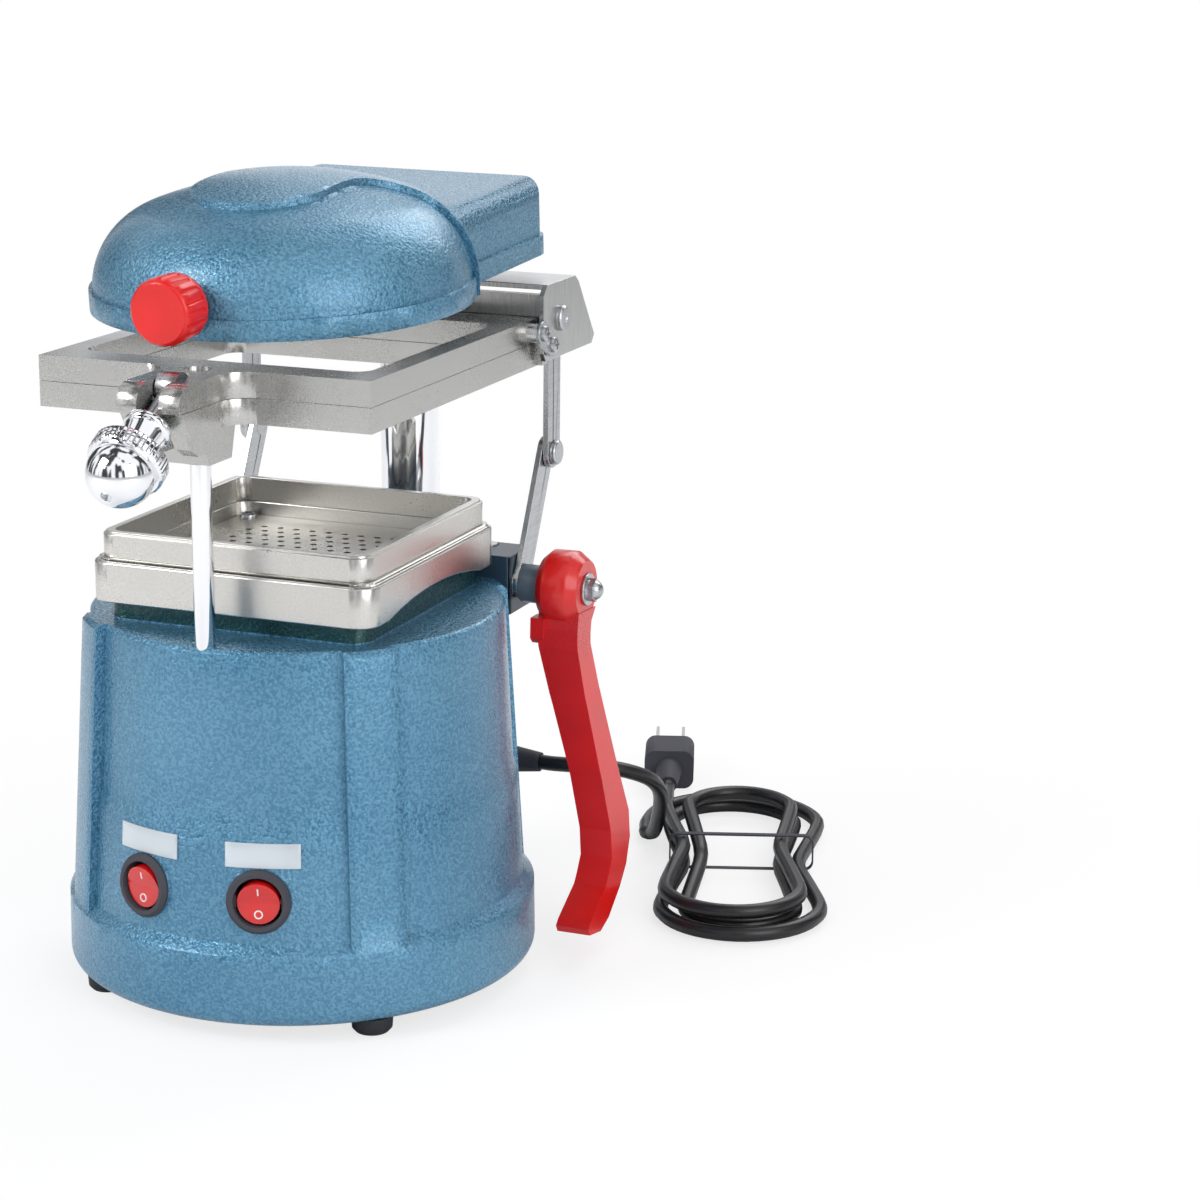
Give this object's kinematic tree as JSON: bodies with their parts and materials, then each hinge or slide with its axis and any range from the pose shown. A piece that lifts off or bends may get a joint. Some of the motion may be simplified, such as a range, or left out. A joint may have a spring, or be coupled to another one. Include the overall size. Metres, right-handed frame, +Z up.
{
  "type": "dental vacuum former",
  "caption": "Bench vacuum former: round housing, perforated tray, clamped sheet frame raised by a lever linkage on a column, and a swing-over heater.",
  "frame": {"origin": "middle of the machine's footprint box on the bench, the free cord left out; the housing's own axis is at x = -8.5 mm, y = 7.3 mm", "axes": "+X to the right seen from the front, where the lever is; -Y to the front, where the clamp and switches are; +Z up"},
  "size_m": [0.2839, 0.466, 0.3267],
  "materials": {
    "housing_blue": "hammered enamel, medium blue",
    "head_blue": "hammered enamel, light blue",
    "deck_slate": "satin dark slate enamel",
    "casting": "sand-blasted and clear finished",
    "inner_metal": "plain",
    "steel": "brushed",
    "chrome": "polished",
    "brass": "turned",
    "rubber": "matt",
    "red_lever": "moulded, glossy",
    "red_knob": "moulded, glossy",
    "red_rocker": "translucent",
    "black_plastic": "moulded, fine grain",
    "label": "satin, blank",
    "ceramic": "unglazed",
    "cord": "satin sheath"
  },
  "bodies": {
    "base": {"base_housing": "housing_blue", "base_plate": "inner_metal", "rubber_feet": "rubber", "base_screws": "steel", "vacuum_motor": "inner_metal", "deck_seal": "rubber", "rear_bridge": "deck_slate", "bridge_screws": "steel", "rear_column": "chrome", "column_collar": "steel", "guide_rod": "chrome", "switch_bezel_l": "black_plastic", "switch_bezel_r": "black_plastic", "label_plate_l": "label", "label_plate_r": "label", "cord_gland": "black_plastic", "cord_lead": "cord", "cord_hank": "cord", "cord_tie": "black_plastic", "plug_body": "black_plastic", "plug_pins": "steel"},
    "tray": {"tray": "casting", "tray_wall": "casting", "perforated_plate": "casting", "plate_screws": "steel"},
    "carriage": {"lower_frame": "casting", "lower_seal": "rubber", "yoke_channel": "steel", "yoke_beam": "steel", "yoke_bush": "steel", "guide_bush": "brass", "yoke_pins": "steel"},
    "upper_frame": {"upper_frame": "casting", "upper_seal": "rubber", "hinge_straps": "steel", "strap_screws": "steel", "clevis_pin": "steel"},
    "swing_bolt": {"swing_bolt": "steel", "clamp_collar": "chrome"},
    "clamp_knob": {"clamp_ring": "chrome", "clamp_ball": "chrome"},
    "crank": {"crank_shaft": "steel", "crank_arm_l": "steel", "crank_arm_r": "steel", "knee_pins": "steel", "shaft_sleeve": "deck_slate", "handle": "red_lever", "handle_washer": "steel", "handle_nut": "steel"},
    "link_left": {"upper_link_l": "steel"},
    "link_right": {"upper_link_r": "steel"},
    "head": {"heater_cover": "head_blue", "head_hub": "steel", "heater_reflector": "inner_metal", "heater_element": "steel", "element_posts": "ceramic", "heater_knob": "red_knob"},
    "rocker_left": {"rocker_l": "red_rocker"},
    "rocker_right": {"rocker_r": "red_rocker"}
  },
  "joints": [
    {"name": "head_swing", "type": "hinge", "parent": "base", "child": "head", "pos_m": [-0.0085, 0.1148, 0.29], "axis": [0, 0, 1], "range_deg": [-90, 90]},
    {"name": "handle_crank", "type": "hinge", "parent": "base", "child": "crank", "pos_m": [-0.0085, 0.0778, 0.1515], "axis": [1, 0, 0], "range_deg": [-64.9, 0]},
    {"name": "frame_lift", "type": "slide", "parent": "base", "child": "carriage", "axis": [0, 0, 1], "range_m": [-0.0616, 0]},
    {"name": "link_left_turn", "type": "hinge", "parent": "crank", "child": "link_left", "pos_m": [-0.07895, 0.10368, 0.20229], "axis": [1, 0, 0], "range_deg": [0, 98]},
    {"name": "link_right_turn", "type": "hinge", "parent": "crank", "child": "link_right", "pos_m": [0.06195, 0.10368, 0.20229], "axis": [1, 0, 0], "range_deg": [0, 98]},
    {"name": "upper_frame_open", "type": "hinge", "parent": "carriage", "child": "upper_frame", "pos_m": [-0.0085, 0.0903, 0.2505], "axis": [-1, 0, 0], "range_deg": [0, 1.5]},
    {"name": "swing_bolt_turn", "type": "hinge", "parent": "upper_frame", "child": "swing_bolt", "pos_m": [-0.0085, -0.0907, 0.2575], "axis": [-1, 0, 0], "range_deg": [0, 70]},
    {"name": "clamp_knob_turn", "type": "hinge", "parent": "swing_bolt", "child": "clamp_knob", "pos_m": [-0.0085, -0.12462, 0.2363], "axis": [0, -0.848, -0.5299], "continuous": true},
    {"name": "tray_lift", "type": "slide", "parent": "base", "child": "tray", "axis": [0, 0, 1], "range_m": [0, 0.04]},
    {"name": "rocker_left_tip", "type": "hinge", "parent": "base", "child": "rocker_left", "pos_m": [-0.03287, -0.07768, 0.05743], "axis": [0.9613, -0.2756, 0], "range_deg": [-18, 0]},
    {"name": "rocker_right_tip", "type": "hinge", "parent": "base", "child": "rocker_right", "pos_m": [0.01587, -0.07768, 0.05743], "axis": [0.9613, 0.2756, 0], "range_deg": [-18, 0]}
  ],
  "couplings": [
    {"joint": "frame_lift", "follows": "handle_crank", "m_per_rad": 0.054295},
    {"joint": "link_left_turn", "follows": "handle_crank", "ratio": -1.5075},
    {"joint": "link_right_turn", "follows": "handle_crank", "ratio": -1.5075}
  ]
}
